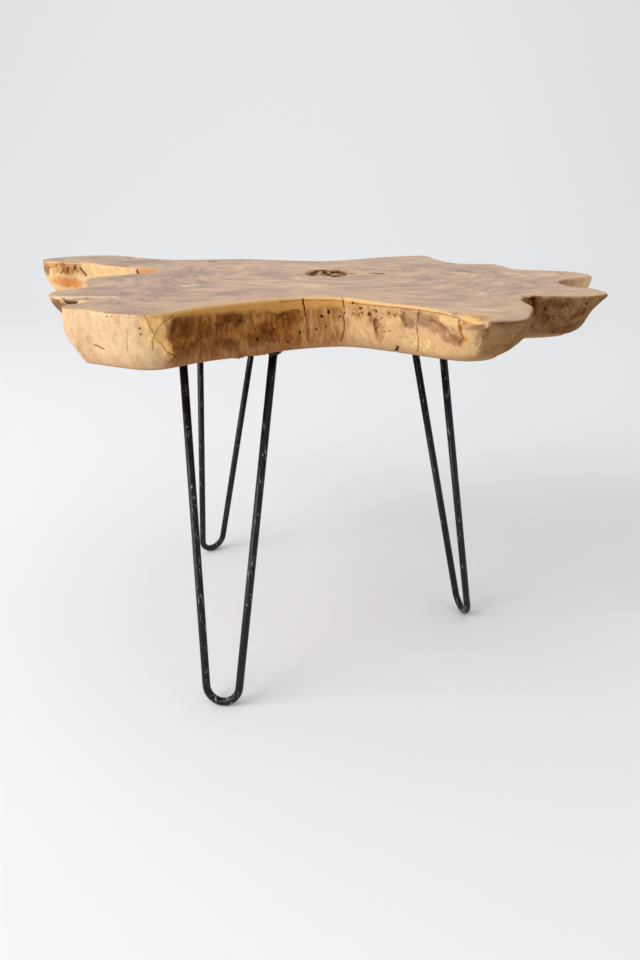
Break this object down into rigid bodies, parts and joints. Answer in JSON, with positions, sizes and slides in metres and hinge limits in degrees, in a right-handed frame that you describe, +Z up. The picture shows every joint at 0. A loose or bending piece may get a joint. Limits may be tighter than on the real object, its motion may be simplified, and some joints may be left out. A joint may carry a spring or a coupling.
{
  "type": "side table",
  "caption": "Low side table: a thick live-edge slice of root wood with a flat polished top, carried on splayed hairpin legs of black round bar.",
  "frame": {"origin": "on the floor, under the centre of the table's bounding box", "axes": "+X along the slice's longest run, +Z up, +Y away from the side shown in the picture"},
  "size_m": [0.734, 0.6004, 0.4499],
  "materials": {
    "root_wood": "sanded root wood, clear satin lacquer on the top face",
    "black_bar": "black paint with scuffs",
    "black_plate": "black paint",
    "painted_weld": "black paint over a weld bead",
    "zinc_screw": "zinc plated"
  },
  "bodies": {
    "root": {"root_slice_top": "root_wood", "front_leg_rod": "black_bar", "front_leg_plate": "black_plate", "front_leg_welds": "painted_weld", "front_leg_screws": "zinc_screw", "right_leg_rod": "black_bar", "right_leg_plate": "black_plate", "right_leg_welds": "painted_weld", "right_leg_screws": "zinc_screw", "back_leg_rod": "black_bar", "back_leg_plate": "black_plate", "back_leg_welds": "painted_weld", "back_leg_screws": "zinc_screw"}
  },
  "joints": []
}
